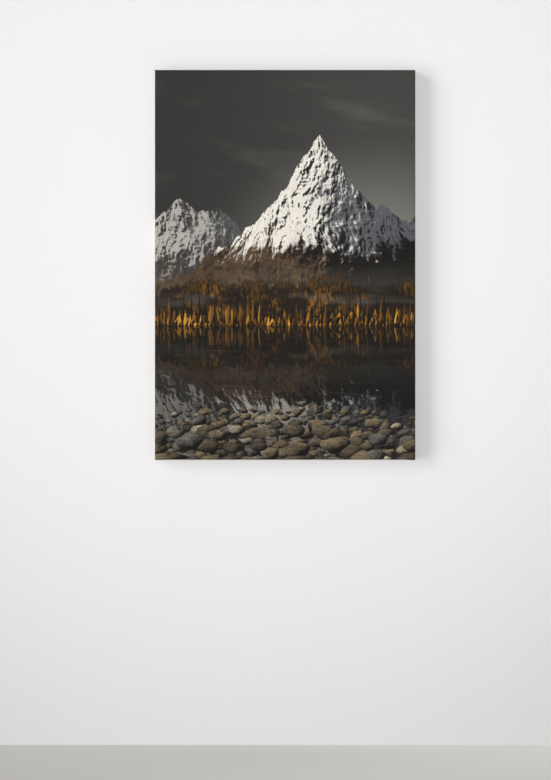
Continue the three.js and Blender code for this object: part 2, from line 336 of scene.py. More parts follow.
def weave(shader, cut):
    """Height of a plain weave over the cut's coordinates, with slubs along the threads."""
    u, v, _ = shader.split(cut)
    across = shader.sin(u * (math.pi / THREAD_PITCH))
    along = shader.sin(v * (math.pi / THREAD_PITCH))
    over = shader.ramp(across * along, -0.15, 0.15)
    warp = abs(across) * (1 - over)
    weft = abs(along) * over
    slub = shader.noise(shader.vector(u * 90, v * 9), 1.0, 3.0)
    slub_across = shader.noise(shader.vector(u * 9, v * 90), 1.0, 3.0)
    return warp + weft + (slub + slub_across) * 0.9


# ---- the print: a mountain lake at dusk, in metres from the middle of the picture ----
SHORE = -0.21  # height of the lake's far shore

# Summits of the two ranges, the highest first: place, height, left slope, right slope.
FAR_SUMMITS = (
    (-0.36, 0.235, 0.5, 0.55),
    (-0.08, 0.12, 0.6, 0.4),
)
NEAR_SUMMITS = (
    (0.12, 0.44, 1.5, 1.45),
    (0.035, 0.3, 1.0, 1.3),
    (0.205, 0.31, 1.1, 0.95),
    (0.33, 0.215, 0.7, 0.8),
    (0.46, 0.17, 0.9, 0.5),
    (-0.075, 0.17, 0.75, 0.9),
    (-0.2, 0.03, 0.4, 0.6),
)

# Rows of trees on the far shore, from the back to the front: spacing, foot above the bank,
# height, seed, and their shades in the dark, in light, and of golden leaves in light.
TREE_ROWS = (
    (0.013, 0.045, 0.100, 2.3, ("#0b0a08", "#1d1812", "#33281a")),
    (0.021, 0.036, 0.085, 6.7, ("#33210c", "#7a5220", "#c98a2e")),
    (0.011, 0.029, 0.080, 4.1, ("#0c0a08", "#241c13", "#4d3819")),
    (0.027, 0.020, 0.085, 9.2, ("#4a2e0e", "#9a6a22", "#f0b03a")),
    (0.016, 0.014, 0.105, 5.4, ("#0d0b09", "#211a11", "#4a3618")),
    (0.018, 0.008, 0.050, 3.9, ("#3c260d", "#8a5f22", "#e0a038")),
    (0.012, 0.003, 0.045, 8.8, ("#0c0a08", "#1d1710", "#33270f")),
    (0.010, -0.001, 0.022, 7.7, ("#140f0a", "#3a2b15", "#9a6c26")),
)

# Stones of the near shore, from the back to the front: size, how far their line lies above
# the shore's, and seed.
STONES = (
    (0.035, 0.035, 3.0),
    (0.06, 0.0, 1.0),
    (0.1, -0.05, 7.0),
)
STONE_FLATNESS = 1.7  # how many times as wide as high the stones are


def skyline(shader, x, summits, rough, seed):
    """Height of a range over x: the highest of its summits' slopes, broken by rock."""
    top = None
    for place, height, left, right in summits:
        beside = x - place
        slope = shader.most(beside * right, beside * -left)
        summit = height - slope
        top = summit if top is None else shader.most(top, summit)
    broken = shader.noise(shader.vector(x, seed), rough, 10.0, 0.64) - 0.5
    return top + broken * (1.3 / rough)


def mountain(shader, colour, x, z, top, summit, seed, snow_line, haze):
    """Paints a snowy range over colour, lit from the left of its crest."""

    def grain(across, upwards, detail, roughness, scale=1.0, other=0):
        where = shader.vector(across, upwards, seed + other)
        return shader.noise(where, scale, detail, roughness)

    swirl = grain(x, z * 0.8, 4.0, 0.5, scale=3.5) - 0.5
    fan = (x - summit) / (top - z + 0.3)  # constant along the fall of the slopes
    fall = fan * 0.2 + swirl * 0.14 + x * 0.35
    here = grain(fall, z * 0.5, 11.0, 0.66, scale=11.0)
    beyond = grain(fall + 0.005, z * 0.5 - 0.003, 11.0, 0.66, scale=11.0)
    relief = (here - beyond) * 8  # how much the rock stands out from what is beside it
    gully = grain(fan * 1.1, z * 1.1, 8.0, 0.62, scale=9.0) - 0.5
    crest = x - summit + swirl * 0.3 + gully * 0.12
    lit = shader.ramp(crest * 4.2 - relief * 1.5 - gully * 2.2, 0.32, -0.38)
    height = z + swirl * 0.2 + relief * 0.08 + gully * 0.3
    snow = shader.ramp(height, snow_line - 0.035, snow_line + 0.035)
    ledge = shader.ramp(relief * 0.9 + here - 0.5 + gully * 0.9, -0.06, -0.22)
    snow = snow * (1 - ledge * 0.92)
    strata = grain(x * 9, z * 70 + fan * 6, 6.0, 0.65)
    rock = shader.mix(lit, srgb("#15120f"), srgb("#4a3a29"))
    pale = shader.ramp(here + strata - 0.5, 0.38, 0.72)
    rock = shader.mix(pale, rock, shader.tint(rock, 1.8))
    scree = grain(fall * 3, z * 1.6, 9.0, 0.68, scale=14.0, other=2)
    rock = shader.mix(shader.ramp(scree, 0.52, 0.4) * 0.75, rock, srgb("#17130f"))
    white = shader.mix(lit, srgb("#595b5f"), srgb("#f0eadf"))
    grey = shader.ramp(relief, 0.0, 0.5) * 0.4
    white = shader.mix(grey, white, shader.tint(white, 0.6))
    face = shader.mix(snow, rock, white)
    face = shader.mix(haze, face, srgb("#4f4d49"))
    return shader.mix(shader.ramp(z - top, 0.0012, -0.0012), colour, face)


def wood(shader, colour, x, z, top, bottom, seed):
    """A wooded slope seen from far off: ranks of small dark trees that thin out upwards."""
    rank = shader.noise(shader.vector(x * 130, z * 34, seed), 1.0, 3.0, 0.6)
    patch = shader.noise(shader.vector(x * 7, z * 11, seed + 3.3), 1.0, 5.0, 0.6)
    cover = shader.ramp(z, top, bottom) * 1.5 + (patch - 0.5) * 1.8
    mask = shader.ramp(cover + (rank - 0.5) * 1.2, 0.42, 0.62)
    mask = mask * shader.ramp(z, top + 0.06, top)
    golden = shader.ramp(patch, 0.48, 0.66) * shader.ramp(rank, 0.4, 0.62)
    golden = golden * shader.ramp(z, top, bottom + 0.03)
    tree = shader.mix(rank, srgb("#0d0b09"), srgb("#2f2519"))
    tree = shader.mix(golden * 0.8, tree, srgb("#9a6a26"))
    return shader.mix(mask, colour, tree)


def lay_over(shader, layer, mask, paint):
    """Adds paint, where the mask is 1, to a layer: a pair of where it covers and its colour."""
    cover, colour = layer
    return shader.most(cover, mask), shader.mix(mask, colour, paint)


def tree_row(shader, layer, x, z, leaves, spacing, foot, height, seed, shades):
    """Paints a row of pointed trees, each with its own height and shade, lit from the left."""
    column = x / spacing + seed
    index = shader.floor(column)
    lot, rise, gold = shader.random(index * 7.31 + seed)
    stand = shader.wander(index * (spacing * 7) + seed, 1.0, 3.0)
    tall = rise**1.5 * (height * 0.8) + height * 0.2
    tall = tall * (shader.ramp(stand, 0.36, 0.6) * 0.85 + 0.15)
    beside = (column - index - 0.5 - (lot - 0.5) * 0.45) / (lot * 0.5 + 0.75)
    up = (z - foot) / tall
    outline = (1 - up) * 0.3 - abs(beside)
    light = lot * 0.55 + up * 0.25 - beside * 1.1
    golden = shader.ramp(gold, 0.35, 1.0)
    inside = shader.ramp(outline + leaves * 0.42, -0.02, 0.05)
    lit = shader.ramp(light + leaves * 1.6, -0.1, 0.85)
    dark, dull, bright = (srgb(code) for code in shades)
    tree = shader.mix(golden, shader.mix(lit, dark, dull), shader.mix(lit, dark, bright))
    return lay_over(shader, layer, inside, tree)


def boulders(shader, layer, x, z, warp, grit, size, line, seed):
    """Paints rounded stones below a line, lit from the upper left, with dark gaps."""
    here = (x + warp * 0.022 + seed, (z + warp * 0.014) * STONE_FLATNESS)
    cell = {"Vector": shader.vector(*here), "Scale": 1 / size, "Randomness": 0.85}
    lots = shader.node("ShaderNodeTexVoronoi", output=1, **cell)
    lot, kind, _ = shader.split(lots, "Color")
    centre = shader.split(shader.node("ShaderNodeTexVoronoi", output=2, **cell))
    across = (here[0] - centre[0]) / size
    upwards = (here[1] - centre[1]) / size
    wide = lot * 0.3 + 0.3
    far = (across * across + upwards * upwards) ** 0.5 / wide
    dome = shader.most(1 - far * far, 0.0) ** 0.5
    light = dome * 0.45 - across * 1.1 + upwards * 1.5 + warp * 1.2
    streaks = shader.vector(x * 30 + lot * 40, z * 90 + kind * 60)
    vein = shader.noise(streaks, 1.0, 5.0, 0.65)
    stone = shader.mix(lot, srgb("#4b443a"), srgb("#85745a"))
    stone = shader.mix(shader.ramp(kind, 0.62, 0.7), stone, srgb("#6c6963"))
    stone = shader.mix(shader.ramp(kind, 0.9, 0.96), stone, srgb("#a89c85"))
    speckle = shader.ramp(grit + vein - 0.5, 0.38, 0.7)
    stone = shader.tint(stone, speckle * 0.58 + 0.62)
    stone = shader.mix(shader.ramp(light + grit * 0.7, 1.3, 0.15), stone, srgb("#110f0c"))
    glint = shader.ramp(light + grit * 0.5, 1.5, 2.1)
    stone = shader.mix(glint * 0.5, stone, srgb("#d9ceb4"))
    there = shader.ramp(centre[1] / STONE_FLATNESS - line, 0.004, -0.004)
    return lay_over(shader, layer, shader.ramp(far, 1.0, 0.93) * there, stone)


def mirrored(shader, x, z):
    """1 on the lake, and what each point shows: itself, or its rippled mirror image."""
    drop = SHORE - z
    below = shader.ramp(drop, -0.0005, 0.0005)
    swell = shader.noise(shader.vector(x * 4, z * 55), 1.0, 4.0, 0.65) - 0.5
    flick = shader.noise(shader.vector(x * 45, z * 420), 1.0, 2.0) - 0.5
    shift = (swell * (drop * 0.13 + 0.004) + flick * (drop * 0.05 + 0.003)) * below
    return below, x + shift * 0.6, z + below * drop * 2 + shift


def sky(shader, x, z):
    """Dark slate with a pale glow low down and thin cloud."""
    cloud = shader.noise(shader.vector(x * 1.2, z * 5.0 + x * 0.8), 1.0, 8.0, 0.56)
    dark = shader.mix(shader.ramp(x, -0.5, 0.5), srgb("#32312f"), srgb("#434240"))
    from_glow = ((x - 0.32) ** 2 * 2.2 + (z - 0.02) ** 2 * 4) ** 0.5
    colour = shader.mix(shader.ramp(from_glow, 0.95, 0.0), dark, srgb("#7c7b74"))
    return shader.mix(shader.ramp(cloud, 0.48, 0.8) * 0.4, colour, srgb("#83817a"))


def ranges(shader, colour, x, z):
    """The hazy far range, and the near one before it."""
    for summits, rough, skyline_seed, seed, snow_line, haze in (
        (FAR_SUMMITS, 6.0, 3.1, 1.7, 0.03, 0.5),
        (NEAR_SUMMITS, 8.0, 8.4, 4.9, 0.07, 0.0),
    ):
        top = skyline(shader, x, summits, rough, skyline_seed)
        look = (top, summits[0][0], seed, snow_line, haze)
        colour = mountain(shader, colour, x, z, *look)
    return colour


def valley(shader, colour, x, z):
    """Mist over the valley, then woods on the lower slopes and a drift of mist on them."""
    mist = shader.noise(shader.vector(x * 2.0, z * 10), 1.0, 5.0)
    ground = shader.ramp(z, 0.05, SHORE + 0.03) * shader.ramp(mist, 0.3, 0.75)
    colour = shader.mix(ground * 0.55, colour, srgb("#6f6c65"))
    colour = wood(shader, colour, x, z, top=0.02, bottom=SHORE, seed=2.2)
    drift = shader.ramp(abs(z - SHORE - 0.085), 0.035, 0.0)
    drift = drift * shader.ramp(mist, 0.42, 0.7)
    return shader.mix(drift * 0.5, colour, srgb("#86827a"))


def shore_trees(shader, colour, x, z):
    """The far shore's dark bank and its rows of trees."""
    bank = shader.noise(shader.vector(x * 3, 5.5), 1.0, 4.0) * 0.05 + (SHORE - 0.03)
    leaves = shader.noise(shader.vector(x * 230, z * 370), 1.0, 3.0, 0.7) - 0.5
    layer = (shader.ramp(z - bank, 0.006, 0.0), srgb("#1b1611"))
    for spacing, foot, height, seed, shades in TREE_ROWS:
        row = (spacing, bank + foot, height, seed, shades)
        layer = tree_row(shader, layer, x, z, leaves, *row)
    cover, trees = layer
    return shader.mix(cover, colour, trees)


def lake(shader, colour, x, z, below):
    """Darkens what the lake mirrors, most of all near by, and adds pale streaks."""
    water = shader.mix(0.3, shader.tint(colour, 0.5), srgb("#1f1f1d"))
    streak = shader.ramp(shader.noise(shader.vector(x * 2.5, z * 95), 1.0, 4.0), 0.6, 0.85)
    water = shader.mix(streak * 0.25, water, srgb("#8e8c84"))
    water = shader.mix(shader.ramp(z, -0.42, -0.72) * 0.8, water, srgb("#161412"))
    return shader.mix(below, colour, water)


def near_stones(shader, colour, x, z):
    """The stones of the near shore, in three sizes."""
    line = shader.noise(shader.vector(x * 2.2, 1.3), 1.0, 4.0) * 0.3 - 0.68
    warp = shader.noise(shader.vector(x, z), 30.0, 4.0, 0.6) - 0.5
    grit = shader.noise(shader.vector(x, z), 160.0, 6.0, 0.7)
    layer = (0.0, srgb("#110f0c"))
    for size, rise, seed in STONES:
        layer = boulders(shader, layer, x, z, warp, grit, size, line + rise, seed)
    cover, stones = layer
    return shader.mix(cover, colour, stones)


def picture(shader, x, z):
    """The whole print, over the cut's coordinates."""
    below, seen_x, seen_z = mirrored(shader, x, z)
    colour = sky(shader, seen_x, seen_z)
    for paint in (ranges, valley, shore_trees):
        colour = paint(shader, colour, seen_x, seen_z)
    colour = lake(shader, colour, x, z, below)
    return near_stones(shader, colour, x, z)


# ---- the cloth's two faces ----
PRINT_BLEED = 9 * MM  # how far the print runs onto the back
BARE_SOFT = 0.8 * MM  # how softly it ends
BARE_RAGGED = 1.2 * MM  # and how unevenly


def printed_cloth():
    """Satin print over the weave, and the bare white ground past its edge."""
    shader = Shader("printed canvas", Specular_IOR_Level=0.1)
    cut = shader.uv("cut")
    u, v, _ = shader.split(cut)
    uneven = shader.noise(cut, 160.0, 3.0) * BARE_RAGGED
    beyond_x = abs(u) - (REACH_X + DEPTH + PRINT_BLEED)
    beyond_z = abs(v) - (REACH_Z + DEPTH + PRINT_BLEED)
    bare = shader.ramp(shader.most(beyond_x, beyond_z) + uneven, 0.0, BARE_SOFT)
    primer = shader.noise(cut, 25.0, 4.0)
    ground = shader.mix(primer, srgb("#d9d5c9"), srgb("#eae7de"))
    colour = shader.mix(bare, picture(shader, u, v), ground)
    return shader.paint(
        Base_Color=colour,
        Roughness=shader.noise(cut, 60.0, 3.0) * 0.16 + 0.5,
        Normal=shader.bump(weave(shader, cut), 0.11 * MM, 0.5),
    )


def raw_cloth():
    """Bare canvas, as it is behind."""
    shader = Shader("raw canvas", Roughness=0.9, Sheen_Weight=0.1)
    cut = shader.uv("cut")
    threads = weave(shader, cut)
    blotch = shader.noise(cut, 7.0, 5.0, 0.6)
    fibre = shader.noise(cut, 320.0, 2.0)
    colour = shader.mix(blotch, srgb("#b9ab8e"), srgb("#d8ceb6"))
    colour = shader.mix(fibre * 0.4, colour, srgb("#8f8168"))
    return shader.paint(Base_Color=colour, Normal=shader.bump(threads, 0.2 * MM, 0.7))


# ---- the shape of the cloth ----
TOUCH = MM / 10  # two places nearer than this are one
TURN = 0.7  # share of the depth past which the cloth belongs to the back
FLAP_LIFT = 0.6 * MM  # how far the turned-over edge lifts between two staples
FRAY = 0.7 * MM  # how unevenly that edge is cut
DENT = 0.35 * MM  # how far the staples pull the sides in
SINK = 0.1 * MM  # how far a fold's layer starts inside the cloth it lies on
FOLD_INSET = 0.4 * MM  # how far a fold stays behind the edges beside it
INNER, RIM = 1, 2  # the cloth's material slots, after the skin's own


def wave(place):
    """1 half-way between two staples and 0 at each."""
    return (1 - math.cos(2 * math.pi * place / STAPLE_PITCH)) / 2


def frayed(place, seed):
    """An uneven number from 0 to 1 along a cut edge, the same on every run."""
    total = (
        math.sin(place * 211 + seed)
        + 0.6 * math.sin(place * 733 + seed * 2)
        + 0.5 * math.sin(place * 1499 + seed * 3)
    )
    return abs(total / 2.1)


def wrap_cloth():
    """The cloth's outer skin: a box, open behind, inside a ring of turned-over cloth."""
    skin = new_box("canvas_cloth", (-REACH_X, FRONT, -REACH_Z), (REACH_X, BACK, REACH_Z))

    def folded(a, b):
        """True for the edges that the cloth is folded round."""
        sides = all(abs(end.x) > REACH_X - MM for end in (a, b))
        ends = all(abs(end.z) > REACH_Z - MM for end in (a, b))
        return sides and ends or abs(a.y - b.y) < MM and (sides or ends)

    def open_back(centre, normal):
        return normal.y > 0.9 and centre.length < REACH_X / 2

    with editing(skin):
        pick_faces(skin, lambda centre, normal: normal.y > 0.9)
        bpy.ops.mesh.inset(thickness=FLAP)
        pick_faces(skin, open_back)
        bpy.ops.mesh.delete(type="FACE")
        pick_edges(skin, folded)
        bpy.ops.mesh.bevel(offset=FOLD_RADIUS, segments=4, profile=0.5)
        cut_grid()
    return skin


def cut_grid():
    """Cuts the mesh in edit mode: evenly, once more along the flaps, and across the depth."""
    lines = []
    for axis, reach in ((0, REACH_X), (2, REACH_Z)):
        count = int((reach - 2 * FOLD_RADIUS) / GRID)
        lines += [(axis, i * GRID) for i in range(-count, count + 1)]
        lines += [(axis, side * (reach - FLAP * 0.55)) for side in (-1, 1)]
    lines += [(1, FRONT + DEPTH * share) for share in (0.2, 0.4, 0.6, 0.8)]
    for axis, place in lines:
        point = [place if i == axis else 0.0 for i in range(3)]
        normal = [float(i == axis) for i in range(3)]
        bpy.ops.mesh.select_all(action="SELECT")
        bpy.ops.mesh.bisect(plane_co=point, plane_no=normal, use_fill=False)


def push_out(co, upright, step):
    """Moves a point outwards on the picture's sides, where upright is true, or its ends."""
    axis = 0 if upright else 2
    co[axis] += step * math.copysign(1.0, co[axis])


def slacken(skin):
    """Pulls the cloth between its staples: rippled sides, and an edge that lifts and frays."""
    for vertex in skin.data.vertices:
        co = vertex.co
        beside, above = REACH_X - abs(co.x), REACH_Z - abs(co.z)
        upright = beside < above
        along = co.z if upright else co.x
        inwards = min(beside, above)
        if co.y > BACK - TOUCH and inwards > FOLD_RADIUS:
            loose = min(1.0, pad_distance(co.x, co.z) / PAD_HOLD - 1)
            share = (inwards - FOLD_RADIUS) / (FLAP - FOLD_RADIUS)
            co.y += FLAP_LIFT * wave(along) * share * max(0.0, loose)
            if inwards > FLAP - TOUCH:
                push_out(co, upright, FRAY * frayed(along, 2.0 if upright else 5.0))
        elif inwards < TOUCH:
            share = (co.y - FRONT) / DEPTH
            ease = min(1.0, max(beside, above) / (3 * GRID))  # none at the corners
            push_out(co, upright, -DENT * (1 - wave(along)) * share * ease)


def unrolled(co, upright):
    """Where a point of the wrapped cloth lies on the flat cut; upright as in push_out."""
    along, reach = (co.x, REACH_X) if upright else (co.z, REACH_Z)
    behind = co.y > FRONT + DEPTH * TURN
    outwards = (2 * reach - abs(along) if behind else abs(along)) + co.y - FRONT
    place = math.copysign(outwards, along)
    return (place, co.z) if upright else (co.x, place)


def bake_place(u, v):
    """A place on the flat cut, in the bake map."""
    return BAKE_MARGIN + (u + HALF_CUT_X) * BAKE_SCALE, 0.5 + v * BAKE_SCALE


def inner_place(u, v):
    """The same for the inner face, which has the strip beside the cut."""
    strip = 1 - 2 * BAKE_MARGIN - 2 * HALF_CUT_X * BAKE_SCALE
    shrink = strip / (2 * HALF_CUT_X) * 0.98  # leaves a gap on both sides
    return 1 - strip / 2 + u * shrink, 0.5 + v * shrink


def map_cloth(piece, skin_vertices):
    """Gives the cloth its place on the flat cut, and a bake map of both faces."""
    mesh = piece.data
    cut = mesh.uv_layers.new(name="cut")
    bake = mesh.uv_layers.new(name="OFBake")
    for face in mesh.polygons:
        upright = REACH_X - abs(face.center.x) < REACH_Z - abs(face.center.z)
        to_bake = inner_place if face.material_index == INNER else bake_place
        for corner in face.loop_indices:
            index = mesh.loops[corner].vertex_index
            u, v = unrolled(mesh.vertices[index].co, upright)
            if face.material_index == RIM and index >= skin_vertices:
                u += CLOTH if upright else 0.0
                v += 0.0 if upright else CLOTH
            cut.data[corner].uv = (u, v)
            bake.data[corner].uv = to_bake(u, v)


def fold_layer(corners, outwards, heights, soft):
    """A folded layer of cloth: a triangle raised by a height at each corner, soft-rimmed."""
    deselect()
    bpy.ops.mesh.primitive_circle_add(vertices=3, fill_type="NGON")
    piece = settle("fold")
    for vertex, corner in zip(piece.data.vertices, corners):
        vertex.co = corner
    raised = outwards * MM
    with editing(piece):
        bpy.ops.mesh.select_all(action="SELECT")
        bpy.ops.mesh.extrude_region_move(TRANSFORM_OT_translate={"value": raised})
    for corner, height in zip(corners, heights):
        above = corner + raised
        top = min(piece.data.vertices[3:], key=lambda v: (v.co - above).length)
        top.co = corner + outwards * height

    def on_top(a, b):
        return all((end - corners[0]).dot(outwards) > soft / 4 for end in (a, b))

    with editing(piece):
        bpy.ops.mesh.select_all(action="SELECT")
        bpy.ops.mesh.normals_make_consistent(inside=False)
        pick_edges(piece, on_top)
        bpy.ops.mesh.bevel(offset=soft, segments=3, profile=0.5)
    return piece


def folded_corner(side_x, side_z):
    """The two layers of one folded corner: on the picture's end and on its turned-over edge."""

    def point(inwards_x, y, inwards_z):
        return Vector((side_x * (REACH_X - inwards_x), y, side_z * (REACH_Z - inwards_z)))

    height = PLEAT + SINK
    last = BACK - FOLD_INSET
    on_end = fold_layer(
        [
            point(FOLD_INSET, FRONT + FOLD_RADIUS, SINK),
            point(FOLD_INSET, last, SINK),
            point(DEPTH, last, SINK),
        ],
        outwards=Vector((0, 0, side_z)),
        heights=[height, height, height],
        soft=0.55 * MM,
    )
    inner = FLAP - MM
    behind = BACK - SINK
    on_flap = fold_layer(
        [
            point(FOLD_INSET, behind, FOLD_INSET),
            point(inner, behind, FOLD_INSET),
            point(inner, behind, inner),
        ],
        outwards=Vector((0, 1, 0)),
        heights=[height, height / 3, height / 3],
        soft=0.3 * MM,
    )
    map_fold(on_end, turned_over=False)
    map_fold(on_flap, turned_over=True)
    return [on_end, on_flap]


def map_fold(piece, turned_over):
    """A fold continues the print it covers. Its bake map lies in the cut's empty corner."""
    mesh = piece.data
    cut = mesh.uv_layers.active or mesh.uv_layers.new(name="cut")
    cut.name = "cut"
    bake = mesh.uv_layers.new(name="OFBake")
    margin = 3 * MM
    shift = 15 * MM if turned_over else margin  # so that the layers lie side by side
    for corner in mesh.loops:
        co = mesh.vertices[corner.vertex_index].co
        cut.data[corner.index].uv = unrolled(co, False)
        beside = REACH_X - abs(co.x) + shift
        above = (REACH_Z - abs(co.z) if turned_over else co.y - FRONT) + margin
        u = math.copysign(REACH_X + beside, co.x)
        v = math.copysign(REACH_Z + above, co.z)
        bake.data[corner.index].uv = bake_place(u, v)


def make_cloth():
    """The whole cloth, folds and all, as one piece."""
    skin = wrap_cloth()
    slacken(skin)
    skin_vertices = len(skin.data.vertices)
    outside, inside = printed_cloth(), raw_cloth()
    for material in (outside, inside, inside):  # for the skin, INNER and RIM
        skin.data.materials.append(material)
    finish_modifier(
        skin,
        "SOLIDIFY",
        thickness=CLOTH,
        offset=-1.0,
        use_even_offset=True,
        material_offset=INNER,
        material_offset_rim=RIM,
    )
    map_cloth(skin, skin_vertices)
    folds = []
    for side_x in (-1, 1):
        for side_z in (-1, 1):
            folds += folded_corner(side_x, side_z)
    for fold in folds:
        fold.data.materials.append(outside)
    whole = join("canvas_cloth", [skin] + folds)
    smooth_by_angle(whole, 40)
    return whole


# ---- staples ----
STAPLE_CROWN = 11 * MM
STAPLE_WIDE = 1.2 * MM
STAPLE_THICK = 0.5 * MM
STAPLE_LEG = 1.0 * MM
STAPLE_BULGE = 0.12 * MM  # how far the middle of the crown stands up
STAPLE_INSET = 15 * MM  # from the picture's outer edge
STAPLE_CLEAR = 1.6 * PAD_HOLD  # nearest to the middle of a felt pad


def staple_pattern():
    """One staple that lies along X on the plane y = 0, its legs going down."""
    half, half_wide = STAPLE_CROWN / 2, STAPLE_WIDE / 2
    piece = new_box("staple", (-half, 0, -half_wide), (half, STAPLE_THICK, half_wide))
    bend = half - STAPLE_WIDE * 0.6

    def under_leg(centre, normal):
        return normal.y < -0.9 and abs(centre.x) > bend

    with editing(piece):
        for place in (-bend, 0.0, bend):
            bpy.ops.mesh.select_all(action="SELECT")
            bpy.ops.mesh.bisect(plane_co=(place, 0, 0), plane_no=(1, 0, 0))
        pick_faces(piece, under_leg)
        leg = {"value": (0, -STAPLE_LEG, 0)}
        bpy.ops.mesh.extrude_region_move(TRANSFORM_OT_translate=leg)
        pick_edges(piece, lambda a, b: min(a.y, b.y) > STAPLE_THICK * 0.9)
        bpy.ops.mesh.bevel(offset=STAPLE_THICK * 0.35, segments=2, profile=0.6)
    for vertex in piece.data.vertices:
        if abs(vertex.co.x) < STAPLE_WIDE:
            vertex.co.y += STAPLE_BULGE
    return piece


def staple_places():
    """Centre, turn and height of every staple: along each side, and across each fold."""
    for reach, end, turn in ((REACH_X, REACH_Z, 0.0), (REACH_Z, REACH_X, math.pi / 2)):
        count = int((reach - 2 * FLAP) / STAPLE_PITCH)
        for side in (-1, 1):
            for i in range(-count, count + 1):
                along, across = i * STAPLE_PITCH, side * (end - STAPLE_INSET)
                x, z = (across, along) if turn else (along, across)
                if pad_distance(x, z) > STAPLE_CLEAR:
                    yield x, z, turn, BACK
    inset = FLAP * 0.42
    height = BACK + PLEAT * 0.72  # the sloping fold's height there
    for side_x in (-1, 1):
        for side_z in (-1, 1):
            lean = math.radians(45) * side_x * side_z
            yield side_x * (REACH_X - inset), side_z * (REACH_Z - inset), lean, height


def make_staples():
    """Every staple, set by hand: a little off its place and its turn."""
    chance = random.Random(7)
    pattern = staple_pattern()
    copies = []
    for x, z, turn, height in staple_places():
        turn += math.radians(chance.uniform(-7, 7))
        x += chance.uniform(-1, 1) * MM
        z += chance.uniform(-1, 1) * MM
        staple = copy_of(pattern)
        place = Matrix.Translation((x, height, z)) @ Matrix.Rotation(turn, 4, "Y")
        staple.data.transform(place)
        copies.append(staple)
    remove(pattern)
    staples = join("staples", copies)
    smooth_by_angle(staples, 35)
    return staples


def staple_steel():
    """Bright flattened wire with a little tarnish."""
    shader = Shader("staple wire", Metallic=1.0)
    place = shader.object_place()
    tarnish = shader.noise(place, 45.0, 4.0, 0.6)
    grit = shader.noise(place, 900.0, 2.0)
    colour = shader.mix(tarnish, srgb("#8f8c86"), srgb("#c9c8c4"))
    return shader.paint(Base_Color=colour, Roughness=grit * 0.2 + 0.2)


# ---- loose threads ----
THREAD_RADIUS = 0.14 * MM
THREAD_PARTS = 7  # that each one bends in
THREADS_PER_METRE = 37.5


def thread_pattern():
    """A straight thread from x = 0 to x = 1, with rings to bend it by."""
    deselect()
    bpy.ops.mesh.primitive_cylinder_add(
        vertices=5,
        radius=THREAD_RADIUS,
        depth=1.0,
        location=(0.5, 0, 0),
        rotation=(0, math.pi / 2, 0),
    )
    piece = settle("thread")
    with editing(piece):
        for i in range(1, THREAD_PARTS):
            bpy.ops.mesh.select_all(action="SELECT")
            bpy.ops.mesh.bisect(plane_co=(i / THREAD_PARTS, 0, 0), plane_no=(1, 0, 0))
    return piece


def bent_thread(pattern, chance, reach, end):
    """A thread that leaves the upper cut edge somewhere within its reach, and curls."""
    length = chance.uniform(1.5, 6) * MM
    if chance.random() < 0.06:  # now and then a long one
        length *= 3
    lean = chance.uniform(-1.1, 1.1)  # in radians, as the curl
    curl = chance.uniform(-1.2, 1.2)
    lift = chance.uniform(0.0, 0.5) * MM
    along = chance.uniform(-reach, reach) * 0.98
    start = Vector((along, BACK - CLOTH / 2 + 0.1 * MM, end + 0.5 * MM))
    thread = copy_of(pattern)
    for vertex in thread.data.vertices:
        share, side, depth = vertex.co
        reached = lean + curl * share / 2  # the way to this ring, seen from the start
        centre = Vector(
            (
                math.sin(reached) * share * length,
                lift * math.sin(share * 2.6),  # up, and most of the way back
                -math.cos(reached) * share * length,
            )
        )
        heading = lean + curl * share
        sideways = Vector((math.cos(heading), 0, math.sin(heading)))
        vertex.co = start + centre + sideways * side + Vector((0, depth, 0))
    return thread


def make_threads():
    """Loose threads along the cut edge of the turned-over cloth."""
    chance = random.Random(11)
    pattern = thread_pattern()
    edge_x, edge_z = REACH_X - FLAP, REACH_Z - FLAP
    copies = []
    for reach, end, turn in (
        (edge_x, edge_z, 0.0),
        (edge_z, edge_x, math.pi / 2),
        (edge_x, edge_z, math.pi),
        (edge_z, edge_x, -math.pi / 2),
    ):
        for _ in range(int(2 * reach * THREADS_PER_METRE)):
            thread = bent_thread(pattern, chance, reach, end)
            thread.data.transform(Matrix.Rotation(turn, 4, "Y"))
            copies.append(thread)
    remove(pattern)
    threads = join("loose_threads", copies)
    smooth_by_angle(threads, 80)
    return threads


def linen():
    """Dull linen thread of two tones."""
    shader = Shader("linen thread", Roughness=0.9, Sheen_Weight=0.1)
    place = shader.object_place()
    tone = shader.noise(place, 60.0, 3.0)
    fibre = shader.noise(place, 900.0, 2.0)
    colour = shader.mix(tone, srgb("#b3a588"), srgb("#e2dac6"))
    colour = shader.mix(fibre * 0.5, colour, srgb("#8f8168"))
    return shader.paint(Base_Color=colour)


# ---- finishes of the frame's own pieces ----
RING_PITCH = 3.4 * MM  # from one growth ring to the next
KNOTS_PER_METRE = 7.0
KNOT_RADIUS = 7.5 * MM  # the largest


def along_and_across(lengthways, x, z):
    """The place along a piece and across it, for a piece that lies along X or Z."""
    return (x, z) if lengthways == "X" else (z, x)


